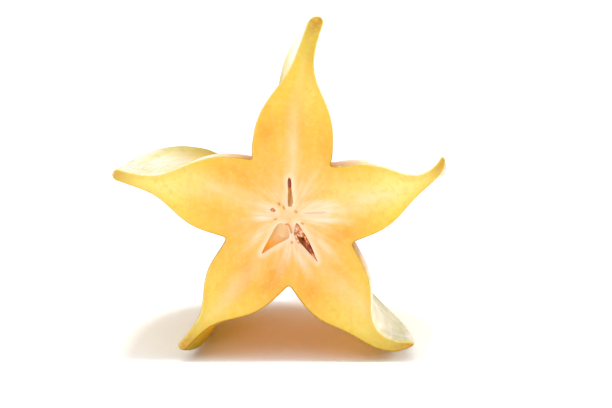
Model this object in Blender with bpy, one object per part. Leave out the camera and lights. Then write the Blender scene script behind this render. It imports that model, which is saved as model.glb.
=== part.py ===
"""Half a star fruit (carambola), cut straight across and resting on two of its five ribs.

The fruit is built in its own frame: its axis runs along +Y from the cut face at y = 0 to the stem,
+X is to the right of somebody who faces the cut and +Z is up. The empty "resting_pose" then leans
it back onto its two lower ribs, as the half settles on a table, and puts the origin under it.
"""

import math
from collections import namedtuple

import bmesh
import bpy
from mathutils import Matrix, Vector

MM = 0.001

# ---------------------------------------------------------------- driving dimensions, in metres and degrees
HALF_LENGTH = 58 * MM  # cut face to the shoulders at the stem end
STEM_DIMPLE = 5 * MM  # how far the stem sits below those shoulders
DIMPLE_RADIUS = 8 * MM
RIDGE_FULLNESS = 3.0  # superellipse powers of the ridge and the valley, seen from the side
VALLEY_FULLNESS = 2.1
BEND_START = 16.5 * MM  # distance from the axis where a rib starts to bend
TIP_FADE = 0.15  # share of the length over which the bent tips straighten behind the cut
TURN_POWER = 3.0  # the ribs turn little near the cut and most near the stem end
UNBENT_RADIUS = 0.6  # share of the reach within which the ribs lose their bend, at the stem
STEM_THICKENING = 2.0  # the thin outer parts of the ribs thicken this much by the stem
FOOT_START = 15.5 * MM  # distance from the axis where the foot of a rib is widest
FOOT_FADE = 1.8 * MM
NOTCH_ROUNDING = 0.6 * MM
LEAN_BACK = 6.2  # how far the cut face leans back at rest, in degrees

FLANK_POINTS = 9  # on each side of a rib, from the notch to where its tip rounds off
TIP_POINTS = 3  # on each side of the rounded tip
LENGTH_STEPS = 22
RING_SPREAD = 1.5
SHARP_EDGE = 35  # edges bent more than this many degrees are shaded sharp
NOTCH_SEARCH = (8 * MM, 26 * MM)  # every notch lies between these distances from the axis
HALVINGS = 40

# Bearings are in degrees, anticlockwise from +X as seen from the cut; sizes are in millimetres.
RIB_FIELDS = (
    "root",  # bearing where the rib leaves the core, behind the cut
    "root_turn",  # how far that bearing turns by the stem end
    "root_flick",  # extra turn of the root on the cut itself
    "tip",  # bearing of the tip behind the cut
    "tip_turn",  # how far the tip turns by the stem end
    "tip_flick",  # extra turn of the tip on the cut itself
    "hook",  # how late the rib bends on its way out, on the cut
    "stem_hook",  # the same behind the cut
    "bow",  # sideways bulge of the whole rib, in degrees
    "reach",  # axis to tip
    "swell",  # share by which the rib grows behind the cut
    "belly",  # width of the thick inner part
    "foot",  # extra width where the rib leaves the core
    "neck",  # width of the thin outer part
    "waist",  # distance from the axis where belly turns to neck
    "taper",  # how gently it does so
)
Rib = namedtuple("Rib", RIB_FIELDS)
RIGHT = Rib(14.2, 2, -1.0, 13.6, -5, 7.4, 4.5, 2.0, 0.0, 39.4, 0.0, 18.0, 1.5, 2.5, 27.0, 2.4)
TOP = Rib(89.0, 2, 0.0, 82.3, 17, 0.0, 1.4, 1.1, 0.0, 48.4, 0.0, 20.0, -1.5, 3.7, 30.2, 2.9)
LEFT = Rib(160.5, 0, 0.0, 166.2, -18, 0.0, 1.0, 1.0, 2.8, 44.1, 0.0, 19.8, 0.7, 2.7, 28.4, 2.7)
LOWER_LEFT = Rib(233.7, 1, 0.0, 236.3, 5, -6.3, 1.0, 1.0, -0.8, 41.9, -0.04, 18.2, 1.5, 2.2, 28.0, 2.3)
LOWER_RIGHT = Rib(303.5, 2, -2.0, 312.8, -8, 0.7, 5.0, 4.0, 0.0, 43.0, 0.027, 17.8, 0.8, 3.6, 28.5, 2.3)
RIBS = (RIGHT, TOP, LEFT, LOWER_LEFT, LOWER_RIGHT)

# Seed chambers: bearing, inner and outer end, half thickness, taper towards the outer end, depth.
Chamber = namedtuple("Chamber", "name bearing inner outer half_thickness taper depth")
CHAMBERS = (
    Chamber("right", 1.5, 2.8, 9.2, 0.22, 0.0, 9),
    Chamber("top", 92.5, 2.2, 9.6, 0.85, -0.1, 20),
    Chamber("left", 159, 3.8, 5.3, 0.38, 0.2, 6),
    Chamber("lower_left", 231, 1.9, 12.6, 3.0, 0.7, 20),
    Chamber("lower_right", 299.5, 1.8, 12.4, 1.4, 0.25, 20),
)

# What lies in the chambers: bearing, distance out, distance behind the cut, and three half sizes.
Kernel = namedtuple("Kernel", "name bearing out behind half_width half_thickness half_length")
SEEDS = (
    Kernel("seed_top", 92, 7.7, 4.8, 1.2, 0.42, 4.3),
    Kernel("seed_lower_right", 298.8, 8.1, 4.7, 2.2, 0.5, 4.3),
)
ARIL = Kernel("aril_lower_right", 299.5, 3.6, 4.8, 1.1, 0.7, 3.6)

CUTTER_OFFSET = 1 * MM  # chambers are widest this far in front of the cut
CHAMBER_FACETS = (24, 14)  # around and along
KERNEL_FACETS = (14, 10)
BLUNTEST = 0.01  # keeps a tapered chamber's outer end from closing to nothing
STEM_RADIUS = 1.7 * MM
STEM_LENGTH = 7 * MM
STEM_FLARE = 1.25
STEM_SEAT = 0.5 * MM  # the rib ends rise this far around the stem
CLEARANCE = 0.3 * MM


# ---------------------------------------------------------------- scene
def clear_scene():
    for thing in list(bpy.data.objects):
        bpy.data.objects.remove(thing)


def new_collection(name):
    collection = bpy.data.collections.new(name)
    bpy.context.scene.collection.children.link(collection)
    return collection


def new_material(name, colour, roughness):
    material = bpy.data.materials.new(name)
    material.use_nodes = True
    shader = material.node_tree.nodes["Principled BSDF"]
    shader.inputs["Base Color"].default_value = (*colour, 1.0)
    shader.inputs["Roughness"].default_value = roughness
    shader.inputs["Metallic"].default_value = 0.0
    return material


def new_object(name, bm, collection, parent, material=None):
    mesh = bpy.data.meshes.new(name)
    bm.to_mesh(mesh)
    bm.free()
    mesh.shade_smooth()
    mesh.set_sharp_from_angle(angle=math.radians(SHARP_EDGE))
    if material:
        mesh.materials.append(material)
    thing = bpy.data.objects.new(name, mesh)
    collection.objects.link(thing)
    thing.parent = parent
    return thing


def around_axis(bearing, distance, depth=0.0):
    """A point at this bearing (radians) and distance from the fruit's axis, this far behind the cut."""
    return Vector((distance * math.cos(bearing), depth, distance * math.sin(bearing)))


def mix(a, b, share):
    return a + (b - a) * share


# ---------------------------------------------------------------- the star's outline
def ridge_radius_at(depth_share):
    """Distance of the ridge from the axis, as a share of the rib's reach."""
    return (1 - depth_share**RIDGE_FULLNESS) ** (1 / RIDGE_FULLNESS)


def rib_width(rib, distance, depth_share):
    """Full width of a rib this far out: a wide belly that narrows to a neck and a round tip."""
    narrowing = 1 / (1 + math.exp((distance / MM - rib.waist) / rib.taper))
    neck = rib.neck * (1 + STEM_THICKENING * (1 - ridge_radius_at(depth_share)) ** 2)
    width = mix(neck, rib.belly, narrowing)
    width += rib.foot * math.exp((FOOT_START - distance) / FOOT_FADE)
    tip_start = rib.reach - rib.neck / 2
    beyond = (distance / MM - tip_start) / (rib.reach - tip_start)
    if beyond > 0:
        width *= math.sqrt(max(0.0, 1 - beyond * beyond))
    return width * MM


def rib_bearing(rib, distance, depth_share):
    """Bearing of a rib's centreline this far from the axis, in radians. Ribs meet the stem unbent."""
    reach = rib.reach * MM
    share = min(1.0, max(0.0, (distance - BEND_START) / (reach - BEND_START)))
    turned = depth_share**TURN_POWER
    fade = math.exp(-depth_share / TIP_FADE)
    root = rib.root + rib.root_turn * turned + rib.root_flick * fade
    tip = rib.tip + rib.tip_turn * turned + rib.tip_flick * fade
    bend = (tip - root) * share ** mix(rib.stem_hook, rib.hook, fade)
    bend += rib.bow * math.sin(math.pi * share)
    return math.radians(root + bend * min(1.0, ridge_radius_at(depth_share) / UNBENT_RADIUS))


def flank_bearing(rib, side, distance, depth_share):
    """Bearing of one edge of a rib: side is -1 for its clockwise edge and 1 for the other."""
    width = rib_width(rib, distance, depth_share) * (1 + rib.swell * math.sin(math.pi * depth_share))
    half_angle = math.asin(min(0.99, width / (2 * distance)))
    return rib_bearing(rib, distance, depth_share) + side * half_angle


def notch_distance(rib, following, depth_share):
    """Distance from the axis to the notch between a rib and the next one anticlockwise."""
    turn = 2 * math.pi if following.root < rib.root else 0.0
    low, high = NOTCH_SEARCH
    for _ in range(HALVINGS):
        middle = (low + high) / 2
        gap = (
            flank_bearing(following, -1, middle, depth_share)
            + turn
            - flank_bearing(rib, 1, middle, depth_share)
        )
        low, high = (low, middle) if gap > 0 else (middle, high)
    return high


def rib_outline(index, depth_share):
    """The rib's edge at this depth, anticlockwise: (bearing, distance, share of the way to the tip)."""
    rib = RIBS[index]
    before, after = RIBS[index - 1], RIBS[(index + 1) % len(RIBS)]
    tip_start = (rib.reach - rib.neck / 2) * MM
    points = []
    for side, notch in (
        (-1, notch_distance(before, rib, depth_share)),
        (1, notch_distance(rib, after, depth_share)),
    ):
        start = notch + NOTCH_ROUNDING
        distances = [mix(start, tip_start, i / (FLANK_POINTS - 1)) for i in range(FLANK_POINTS)]
        for i in range(1, TIP_POINTS + 1):
            around_tip = math.sin(math.pi / 2 * i / (TIP_POINTS + 1))
            distances.append(mix(tip_start, rib.reach * MM, around_tip))
        edge = [
            (flank_bearing(rib, side, d, depth_share), d, (d - start) / (rib.reach * MM - start))
            for d in distances
        ]
        points.append(edge)
    tip = (rib_bearing(rib, rib.reach * MM, depth_share), rib.reach * MM, 1.0)
    return points[0] + [tip] + points[1][::-1]


# ---------------------------------------------------------------- from the cut to the stem end
def superellipse(turn, power):
    """(share of the radius, share of the length) along a rounded profile, for turn from 0 to a right angle."""
    return max(0.0, math.cos(turn)) ** (2 / power), math.sin(turn) ** (2 / power)


def body_point(bearing, distance, ridge_share, turn, rib):
    ridge_radius, ridge_depth = superellipse(turn, RIDGE_FULLNESS)
    valley_radius, valley_depth = superellipse(turn, VALLEY_FULLNESS)
    ridge_radius += rib.swell * math.sin(math.pi * ridge_depth)
    radius = distance * mix(valley_radius, ridge_radius, ridge_share)
    depth = HALF_LENGTH * mix(valley_depth, ridge_depth, ridge_share)
    return around_axis(bearing, radius, depth - stem_dimple(radius, depth))


def stem_dimple(radius, depth):
    """How far the surface is drawn in around the stem."""
    nearness = (depth / HALF_LENGTH) ** 4
    return STEM_DIMPLE * nearness * math.exp(-((radius / DIMPLE_RADIUS) ** 2))


def body_ring(turn):
    _, depth_share = superellipse(turn, RIDGE_FULLNESS)
    ring = []
    for index, rib in enumerate(RIBS):
        for bearing, distance, ridge_share in rib_outline(index, depth_share):
            ring.append(body_point(bearing, distance, ridge_share, turn, rib))
    return ring


def profile_turn(step):
    """Spaces the rings evenly along the ridge, which runs flat at the cut and steep at the stem."""
    share = step / LENGTH_STEPS
    near, far = share**RING_SPREAD, (1 - share) ** RING_SPREAD
    return math.pi / 2 * near / (near + far)


def make_body(collection, parent, material):
    bm = bmesh.new()
    rings = [[bm.verts.new(p) for p in body_ring(profile_turn(step))] for step in range(LENGTH_STEPS)]
    pole = bm.verts.new((0, HALF_LENGTH - STEM_DIMPLE, 0))
    bm.faces.new(rings[0])
    for ring, behind in zip(rings, rings[1:]):
        for i in range(len(ring)):
            bm.faces.new((ring[i], ring[i - 1], behind[i - 1], behind[i]))
    last = rings[-1]
    for i in range(len(last)):
        bm.faces.new((last[i], last[i - 1], pole))
    bmesh.ops.recalc_face_normals(bm, faces=bm.faces)
    body = new_object("fruit_body", bm, collection, parent, material)
    body.data.polygons[0].use_smooth = False
    return body


# ---------------------------------------------------------------- chambers, seeds and stem
def turned_to(bearing):
    """Turns a shape whose +X is outward so that it points along a bearing, in degrees."""
    return Matrix.Rotation(-math.radians(bearing), 4, "Y")


def ellipsoid(centre_out, behind, half_sizes, bearing, facets, taper=0.0):
    """half_sizes are outward, along the fruit and across; taper thins the outer end."""
    bm = bmesh.new()
    bmesh.ops.create_uvsphere(bm, u_segments=facets[0], v_segments=facets[1], radius=1.0)
    for vert in bm.verts:
        out, along, across = vert.co
        across *= max(BLUNTEST, (1 - out) / 2) ** taper
        vert.co = Vector((out, along, across)) * Vector(half_sizes)
        vert.co += Vector((centre_out, behind, 0))
    bmesh.ops.transform(bm, matrix=turned_to(bearing), verts=bm.verts)
    return bm


def cut_chambers(body, collection, parent):
    for chamber in CHAMBERS:
        half_out = (chamber.outer - chamber.inner) / 2
        sizes = [size * MM for size in (half_out, chamber.depth, chamber.half_thickness)]
        centre = (chamber.inner + chamber.outer) / 2 * MM
        bm = ellipsoid(centre, -CUTTER_OFFSET, sizes, chamber.bearing, CHAMBER_FACETS, chamber.taper)
        cutter = new_object(f"chamber_cutter_{chamber.name}", bm, collection, parent)
        cutter.hide_render = True
        cutter.display_type = "WIRE"
        cut = body.modifiers.new(f"chamber_{chamber.name}", "BOOLEAN")
        cut.operation = "DIFFERENCE"
        cut.solver = "EXACT"
        cut.object = cutter


def make_kernels(kernels, collection, parent, material):
    for k in kernels:
        sizes = [s * MM for s in (k.half_width, k.half_length, k.half_thickness)]
        bm = ellipsoid(k.out * MM, k.behind * MM, sizes, k.bearing, KERNEL_FACETS)
        new_object(k.name, bm, collection, parent, material)


def make_stem(collection, parent, material):
    """A short dried stalk, a little wider where it meets the fruit."""
    bm = bmesh.new()
    bmesh.ops.create_cone(
        bm,
        segments=16,
        cap_ends=True,
        radius1=STEM_RADIUS * STEM_FLARE,
        radius2=STEM_RADIUS,
        depth=STEM_LENGTH,
    )
    base = HALF_LENGTH - STEM_DIMPLE + STEM_SEAT + CLEARANCE
    place = Matrix.Translation((0, base + STEM_LENGTH / 2, 0)) @ Matrix.Rotation(-math.pi / 2, 4, "X")
    bmesh.ops.transform(bm, matrix=place, verts=bm.verts)
    return new_object("stem_stub", bm, collection, parent, material)


# ---------------------------------------------------------------- resting pose
def rest_on_table(pose, things):
    """Leans the fruit back and puts the origin at the middle of the bottom of its bounding box."""
    pose.rotation_euler = (-math.radians(LEAN_BACK), 0, 0)
    bpy.context.view_layer.update()
    graph = bpy.context.evaluated_depsgraph_get()
    corners = []
    for thing in things:
        evaluated = thing.evaluated_get(graph)
        corners += [evaluated.matrix_world @ v.co for v in evaluated.data.vertices]
    low = Vector([min(c[i] for c in corners) for i in range(3)])
    high = Vector([max(c[i] for c in corners) for i in range(3)])
    pose.location = (-(low.x + high.x) / 2, -(low.y + high.y) / 2, -low.z)


def main():
    clear_scene()
    fruit = new_collection("star_fruit")
    cutters = new_collection("cutters")
    pose = bpy.data.objects.new("resting_pose", None)
    fruit.objects.link(pose)

    flesh = new_material("fruit", (0.95, 0.62, 0.16), 0.4)
    seed = new_material("seed", (0.20, 0.05, 0.02), 0.35)
    aril = new_material("aril", (0.62, 0.33, 0.12), 0.3)
    stalk = new_material("stalk", (0.22, 0.15, 0.07), 0.8)

    body = make_body(fruit, pose, flesh)
    cut_chambers(body, cutters, pose)
    make_kernels(SEEDS, fruit, pose, seed)
    make_kernels([ARIL], fruit, pose, aril)
    make_stem(fruit, pose, stalk)
    rest_on_table(pose, [thing for thing in fruit.objects if thing.type == "MESH"])


main()
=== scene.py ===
"""Half of a ripe star fruit (carambola), cut straight across and standing on two of its five ribs.

Everything is worked out in the fruit's own frame, in millimetres: the axis runs along +Y from the cut
face at y = 0 to the stem, +X is to the right of somebody who faces the cut and +Z is up. The finished
pieces are then leaned back and set on the floor where the frame holds the fruit.
"""

import math
from collections import namedtuple

import bmesh
import bpy
import numpy as np
from mathutils import Matrix, Vector, geometry, noise


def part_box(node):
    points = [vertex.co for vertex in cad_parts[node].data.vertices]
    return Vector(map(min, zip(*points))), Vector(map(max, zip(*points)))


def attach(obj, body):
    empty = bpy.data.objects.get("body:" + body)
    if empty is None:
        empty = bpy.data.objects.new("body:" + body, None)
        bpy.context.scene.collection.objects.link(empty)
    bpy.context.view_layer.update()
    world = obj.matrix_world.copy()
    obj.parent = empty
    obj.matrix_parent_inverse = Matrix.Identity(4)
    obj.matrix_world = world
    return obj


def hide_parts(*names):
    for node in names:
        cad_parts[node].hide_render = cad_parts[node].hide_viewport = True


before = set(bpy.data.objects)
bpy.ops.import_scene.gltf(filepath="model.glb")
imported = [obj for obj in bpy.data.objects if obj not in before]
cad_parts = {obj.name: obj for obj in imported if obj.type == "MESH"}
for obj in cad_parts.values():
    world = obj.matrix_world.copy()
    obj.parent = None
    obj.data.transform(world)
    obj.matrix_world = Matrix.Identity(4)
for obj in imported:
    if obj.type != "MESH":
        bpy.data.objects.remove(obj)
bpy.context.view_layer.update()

MM = 0.001

# ---------------------------------------------------------------- the star's rule, in millimetres and degrees
HALF_LENGTH = 58.0  # cut face to the shoulders at the stem end
STEM_DIMPLE = 5.0  # how far the middle of the stem end is drawn in
DIMPLE_RADIUS = 8.0
RIDGE_FULLNESS = 3.0  # superellipse powers of the ridge and the valley, seen from the side
VALLEY_FULLNESS = 2.1
BEND_START = 16.5  # a rib bends from this far out
TIP_FADE = 0.15  # the share of the length over which the flick at the cut dies away
TURN_POWER = 3.0  # the higher, the later along the length the ribs turn
UNBENT_RADIUS = 0.6  # a rib straightens where its ridge has sunk below this share of its reach
STEM_THICKENING = 2.0  # how much thicker the ribs' necks grow towards the stem
FOOT_START = 15.5  # a rib's foot flares inside this distance
FOOT_FADE = 1.8
NOTCH_ROUNDING = 0.6
NOTCH_SEARCH = (8.0, 26.0)  # each notch is found between these distances, by halving
HALVINGS = 40
WIDTH_FROM, WIDTH_TO = 13.0, 0.4  # the ribs' width is measured from here to this far inside the tip
LEAN_BACK = 6.2

# How finely the skin is drawn.
FLANK_POINTS = 26
TIP_POINTS = 7
NOTCH_POINTS = 3
LENGTH_STEPS = 96
RING_SPREAD = 1.35  # above 1, the rings crowd together towards the cut and the stem
RIM_ROUNDING = 0.28  # the knife's edge on the peel is this round

# Bearings of a rib's root and tip, how they turn towards the stem and flick at the cut, how sharply the rib
# hooks at the cut and at the stem, its bow and reach, how it swells along its length, and its width: belly,
# flare at the foot and neck, the distance where belly turns into neck, and over how far.
Rib = namedtuple(
    "Rib",
    "root root_turn root_flick tip tip_turn tip_flick hook stem_hook bow reach swell belly foot neck waist taper",
)
RIGHT = Rib(14.2, 2, -1.0, 13.6, -5, 7.4, 4.5, 2.0, 0.0, 39.4, 0.0, 18.0, 1.5, 2.5, 27.0, 2.4)
TOP = Rib(89.0, 2, 0.0, 82.3, 17, 0.0, 1.4, 1.1, 0.0, 48.4, 0.0, 20.0, -1.5, 3.7, 30.2, 2.9)
LEFT = Rib(160.5, 0, 0.0, 166.2, -18, 0.0, 1.0, 1.0, 2.8, 44.1, 0.0, 19.8, 0.7, 2.7, 28.4, 2.7)
LOWER_LEFT = Rib(233.7, 1, 0.0, 236.3, 5, -6.3, 1.0, 1.0, -0.8, 41.9, -0.04, 18.2, 1.5, 2.2, 28.0, 2.3)
LOWER_RIGHT = Rib(303.5, 2, -2.0, 312.8, -8, 0.7, 5.0, 4.0, 0.0, 43.0, 0.027, 17.8, 0.8, 3.6, 28.5, 2.3)
RIBS = (RIGHT, TOP, LEFT, LOWER_LEFT, LOWER_RIGHT)
RIBS_APART = 9.0  # how far apart the ribs lie in the noise, so that no two have the same marks

# How much of the pale waxy bloom colour each rib's clockwise and anticlockwise flank keeps. The flanks that face down
# keep less, which paints shade on them.
FLANK_BLOOM_AND_SHADE = ((0.6, 1.0), (0.9, 1.0), (1.0, 0.5), (0.7, 0.0), (0.0, 0.8))

# Seed chambers: bearing, depth, and the corners of the opening as (outward, anticlockwise) distances.
Chamber = namedtuple("Chamber", "bearing depth corners")
CHAMBERS = {
    "right": Chamber(1.5, 0.25, ((2.9, 0.8), (4.2, 0.62), (7.0, 0.68), (9.2, 0.86), (7.0, 1.0), (4.2, 0.96))),
    "top": Chamber(
        92.5,
        2.2,
        ((2.3, 0.2), (2.7, -0.62), (4.6, -0.66), (6.3, -0.40), (7.3, -0.44), (9.2, -0.40))
        + ((9.6, 0.0), (9.2, 0.40), (7.3, 0.44), (6.3, 0.36), (4.6, 0.62), (2.6, 0.62)),
    ),
    "left": Chamber(159.5, 0.9, ((3.9, 0.0), (4.25, -0.4), (5.0, -0.34), (5.35, 0.0), (4.95, 0.32), (4.25, 0.3))),
    "lower_left": Chamber(
        231,
        1.6,
        ((2.2, 0.2), (2.7, -1.1), (3.8, -1.5), (6.5, -1.0), (9.5, -0.45), (12.0, 0.16))
        + ((9.5, 0.74), (6.8, 1.8), (4.6, 2.8), (3.8, 2.75), (2.6, 1.2)),
    ),
    "lower_right": Chamber(
        299.5,
        8,
        ((1.8, 0.4), (2.9, -0.6), (4.0, -1.5), (5.5, -1.5), (7.5, -0.95), (9.8, -0.5), (11.2, -0.05))
        + ((12.9, 0.25), (11.0, 0.42), (9.5, 0.66), (7.0, 0.85), (5.3, 0.8), (3.4, 0.8), (2.3, 0.72)),
    ),
}
CORNER_CUTS = 3  # rounds of corner cutting that turn the corners into a smooth opening
LINING_STEPS = 12
LINING_ROUNDING = 0.16  # how far the flesh sinks at a chamber's lip, and over what distance
LINING_FADE = 0.35
KNIFE_WAVES = ((0.35, 4.0, 0.06), (1.6, 9.0, 0.02))  # waves per millimetre, place in the noise, height

# Fine strands and dots of vessel tissue in the cut, (x, z) in millimetres from the core.
Strand = namedtuple("Strand", "radius points")
STRANDS = (
    Strand(0.26, ((-1.25, -1.85), (-0.75, -1.75), (-0.35, -2.3), (-0.1, -3.0), (0.1, -3.8))),
    Strand(0.3, ((-2.95, 3.3), (-2.7, 2.9))),
    Strand(0.28, ((1.15, 1.3), (1.3, 1.15))),
    Strand(0.24, ((2.6, -1.5), (2.9, -1.7))),
    Strand(0.22, ((0.15, -6.0), (0.2, -6.3))),
    Strand(0.2, ((-1.9, 2.6), (-1.6, 1.9))),
    Strand(0.16, ((-4.0, -0.6), (-3.4, -0.4))),
)

# Soft patches of the cut, by kind: middle (x, z), half length and half width in millimetres, bearing, amount.
PATCHES = {
    "ripe": (
        (-6.0, 20.5, 7.0, 3.2, 75, 0.8),
        (-6.5, 12.5, 4.0, 4.0, 0, 0.35),
        (1.0, 24.0, 10.0, 6.0, 88, 0.55),
        (8.2, 17.0, 6.0, 2.4, 100, 0.5),
        (4.5, 25.0, 6.0, 2.4, 100, 0.35),
        (-14.0, 10.5, 7.0, 3.0, 165, 0.8),
        (-20.0, 1.5, 7.0, 3.0, 155, 0.3),
        (15.0, 9.5, 7.0, 2.6, 15, 0.25),
        (13.5, -4.0, 6.0, 2.6, 20, 0.7),
        (-11.0, -14.0, 7.0, 3.0, 235, 0.7),
        (-4.0, -15.0, 5.0, 3.2, 240, 1.0),
        (3.5, -17.5, 5.0, 3.4, 300, 0.8),
        (-12.0, -3.5, 6.0, 3.0, 200, 0.4),
        (11.5, -13.5, 7.0, 2.6, 310, 0.35),
        (19.0, -20.0, 5.0, 2.6, 315, 0.3),
    ),
    "pale": (
        (8.0, 2.9, 5.0, 1.2, 3, 1.0),
        (8.0, -0.9, 5.0, 1.0, -3, 1.0),
        (7.5, 1.2, 6.0, 1.6, 3, 0.8),
        (18.0, 4.0, 7.0, 2.4, 12, 0.5),
        (-6.8, 0.0, 2.6, 1.2, 165, 1.0),
        (-6.2, 2.9, 2.0, 0.8, 165, 0.6),
        (-18.0, 7.0, 9.0, 2.0, 158, 0.3),
        (0.4, 17.0, 8.0, 1.3, 89, 0.4),
        (3.0, 6.5, 3.5, 2.5, 60, 0.4),
        (-0.8, -8.5, 4.5, 1.2, 250, 0.7),
        (-7.6, -4.0, 4.5, 1.0, 228, 0.8),
        (1.8, -9.2, 5.5, 1.0, 300, 0.7),
        (8.2, -7.2, 4.5, 1.2, 308, 0.5),
        (16.0, -20.0, 9.0, 2.2, 309, 0.25),
        (-15.0, -19.0, 8.0, 2.0, 232, 0.2),
    ),
    "tan": (
        (-27.0, -33.5, 5.0, 3.0, 236, 0.95),
        (30.5, -31.5, 5.5, 3.0, 312, 0.8),
        (37.5, 12.5, 4.5, 2.5, 14, 0.7),
        (6.8, 47.5, 4.0, 2.5, 82, 0.6),
        (5.5, 38.0, 6.0, 3.0, 82, 0.4),
        (-43.0, 10.5, 4.0, 2.5, 166, 0.4),
    ),
    "lemon": (
        (26.0, 8.0, 12.0, 4.5, 14, 1.0),
        (14.0, 7.0, 6.0, 3.0, 25, 0.7),
        (-32.0, 8.0, 9.0, 4.0, 166, 0.9),
        (-24.0, 10.0, 6.0, 3.0, 160, 0.4),
        (6.0, 33.0, 6.0, 3.0, 80, 0.5),
        (3.5, 27.0, 4.0, 2.4, 85, 0.3),
        (22.0, -22.0, 7.0, 3.0, 312, 0.4),
    ),
}

# How finely the cut is drawn, and the edges that distances are measured from.
CORE_RADIUS = 14.0  # the core is drawn finely out to here
CORE_SPACING = 0.22
FLESH_SPACING = 0.6
POINT_NUDGE = 0.12  # as a share of the spacing
RIM_SPACING = 0.2
EDGE_SPACING = 0.1
FINE_SPACING = 0.05


# ---------------------------------------------------------------- small helpers
# Sockets of a colour mix and of a random number that have to be given by number, because others share their names.
A, B, MIXED = 6, 7, 2
LEAST, MOST, NUMBER = 2, 3, 1


def add(tree, kind, inputs=(), output=None, stops=(), **settings):
    """Adds one node with its settings and links, and returns the output asked for, or else the first in use.

    Inputs are given by name or number, or as a plain row that fills the first ones. An input that is a socket
    is linked. Colours are sRGB hex; a ramp's stops are (place, colour) pairs.
    """
    node = tree.nodes.new(kind)
    for name, value in settings.items():
        setattr(node, name, value)
    for key, value in inputs.items() if isinstance(inputs, dict) else enumerate(inputs):
        if isinstance(value, bpy.types.NodeSocket):
            tree.links.new(value, node.inputs[key])
        else:
            is_colour = isinstance(value, str) and value.startswith("#")
            node.inputs[key].default_value = linear(value) if is_colour else value
    for i, (place, colour) in enumerate(stops):
        elements = node.color_ramp.elements
        stop = elements[i] if i < len(elements) else elements.new(place)
        stop.position, stop.color = place, linear(colour)
    if output is not None:
        return node.outputs[output]
    return next((socket for socket in node.outputs if socket.enabled), None)


def linear(hex_colour):
    """An sRGB hex colour as linear red, green, blue and 1."""
    channels = [int(hex_colour[i : i + 2], 16) / 255 for i in (1, 3, 5)]
    return [c / 12.92 if c <= 0.04045 else ((c + 0.055) / 1.055) ** 2.4 for c in channels] + [1.0]


def mix(a, b, share):
    return a + (b - a) * share


def polar(bearing, distance):
    """(x, z) at a bearing in degrees and a distance from the axis."""
    return Vector((math.cos(math.radians(bearing)), math.sin(math.radians(bearing)))) * distance


# ---------------------------------------------------------------- the star's outline
def ridge_radius_at(depth_share):
    return (1 - depth_share**RIDGE_FULLNESS) ** (1 / RIDGE_FULLNESS)


def rib_width(rib, distance, depth_share):
    """Full width of a rib this far out: a wide belly that narrows to a neck and a round tip."""
    narrowing = 1 / (1 + math.exp((distance - rib.waist) / rib.taper))
    neck = rib.neck * (1 + STEM_THICKENING * (1 - ridge_radius_at(depth_share)) ** 2)
    width = mix(neck, rib.belly, narrowing) + rib.foot * math.exp((FOOT_START - distance) / FOOT_FADE)
    tip_start = rib.reach - rib.neck / 2
    beyond = (distance - tip_start) / (rib.reach - tip_start)
    return width * math.sqrt(max(0.0, 1 - beyond * beyond)) if beyond > 0 else width


def rib_bearing(rib, distance, depth_share):
    """Bearing of a rib's centreline, in radians. The ribs meet the stem unbent."""
    share = min(1.0, max(0.0, (distance - BEND_START) / (rib.reach - BEND_START)))
    turned, fade = depth_share**TURN_POWER, math.exp(-depth_share / TIP_FADE)
    root = rib.root + rib.root_turn * turned + rib.root_flick * fade
    tip = rib.tip + rib.tip_turn * turned + rib.tip_flick * fade
    bend = (tip - root) * share ** mix(rib.stem_hook, rib.hook, fade) + rib.bow * math.sin(math.pi * share)
    return math.radians(root + bend * min(1.0, ridge_radius_at(depth_share) / UNBENT_RADIUS))


def flank_bearing(rib, side, distance, depth_share):
    width = rib_width(rib, distance, depth_share) * (1 + rib.swell * math.sin(math.pi * depth_share))
    return rib_bearing(rib, distance, depth_share) + side * math.asin(min(0.99, width / (2 * distance)))


def notch_distance(rib, following, depth_share):
    turn = 2 * math.pi if following.root < rib.root else 0.0
    low, high = NOTCH_SEARCH
    for _ in range(HALVINGS):
        middle = (low + high) / 2
        gap = flank_bearing(following, -1, middle, depth_share) + turn
        gap -= flank_bearing(rib, 1, middle, depth_share)
        low, high = (low, middle) if gap > 0 else (middle, high)
    return high


def star_outline(depth_share):
    """The whole edge at this depth, anticlockwise: (bearing, distance, share of the way to the ridge, rib)."""
    notches = [notch_distance(RIBS[i - 1], RIBS[i], depth_share) for i in range(len(RIBS))]
    outline = []
    for index, rib in enumerate(RIBS):
        tip_start = rib.reach - rib.neck / 2
        flanks = []
        for side, notch in ((-1, notches[index]), (1, notches[(index + 1) % len(RIBS)])):
            start = notch + NOTCH_ROUNDING
            distances = [mix(start, tip_start, i / (FLANK_POINTS - 1)) for i in range(FLANK_POINTS)]
            for i in range(1, TIP_POINTS + 1):
                distances.append(mix(tip_start, rib.reach, math.sin(math.pi / 2 * i / (TIP_POINTS + 1))))
            shares = [(d - start) / (rib.reach - start) for d in distances]
            bearings = [flank_bearing(rib, side, d, depth_share) for d in distances]
            flanks.append(list(zip(bearings, distances, shares)))
        tip = (rib_bearing(rib, rib.reach, depth_share), rib.reach, 1.0)
        outline += [(*point, index) for point in flanks[0] + [tip] + flanks[1][::-1]]
        following, notch = RIBS[(index + 1) % len(RIBS)], notches[(index + 1) % len(RIBS)]
        corner = (flank_bearing(rib, 1, notch, depth_share), notch)
        end = (flank_bearing(following, -1, notch + NOTCH_ROUNDING, depth_share), notch + NOTCH_ROUNDING)
        outline += notch_curve(flanks[1][0], corner, end, index)
    return outline


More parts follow.
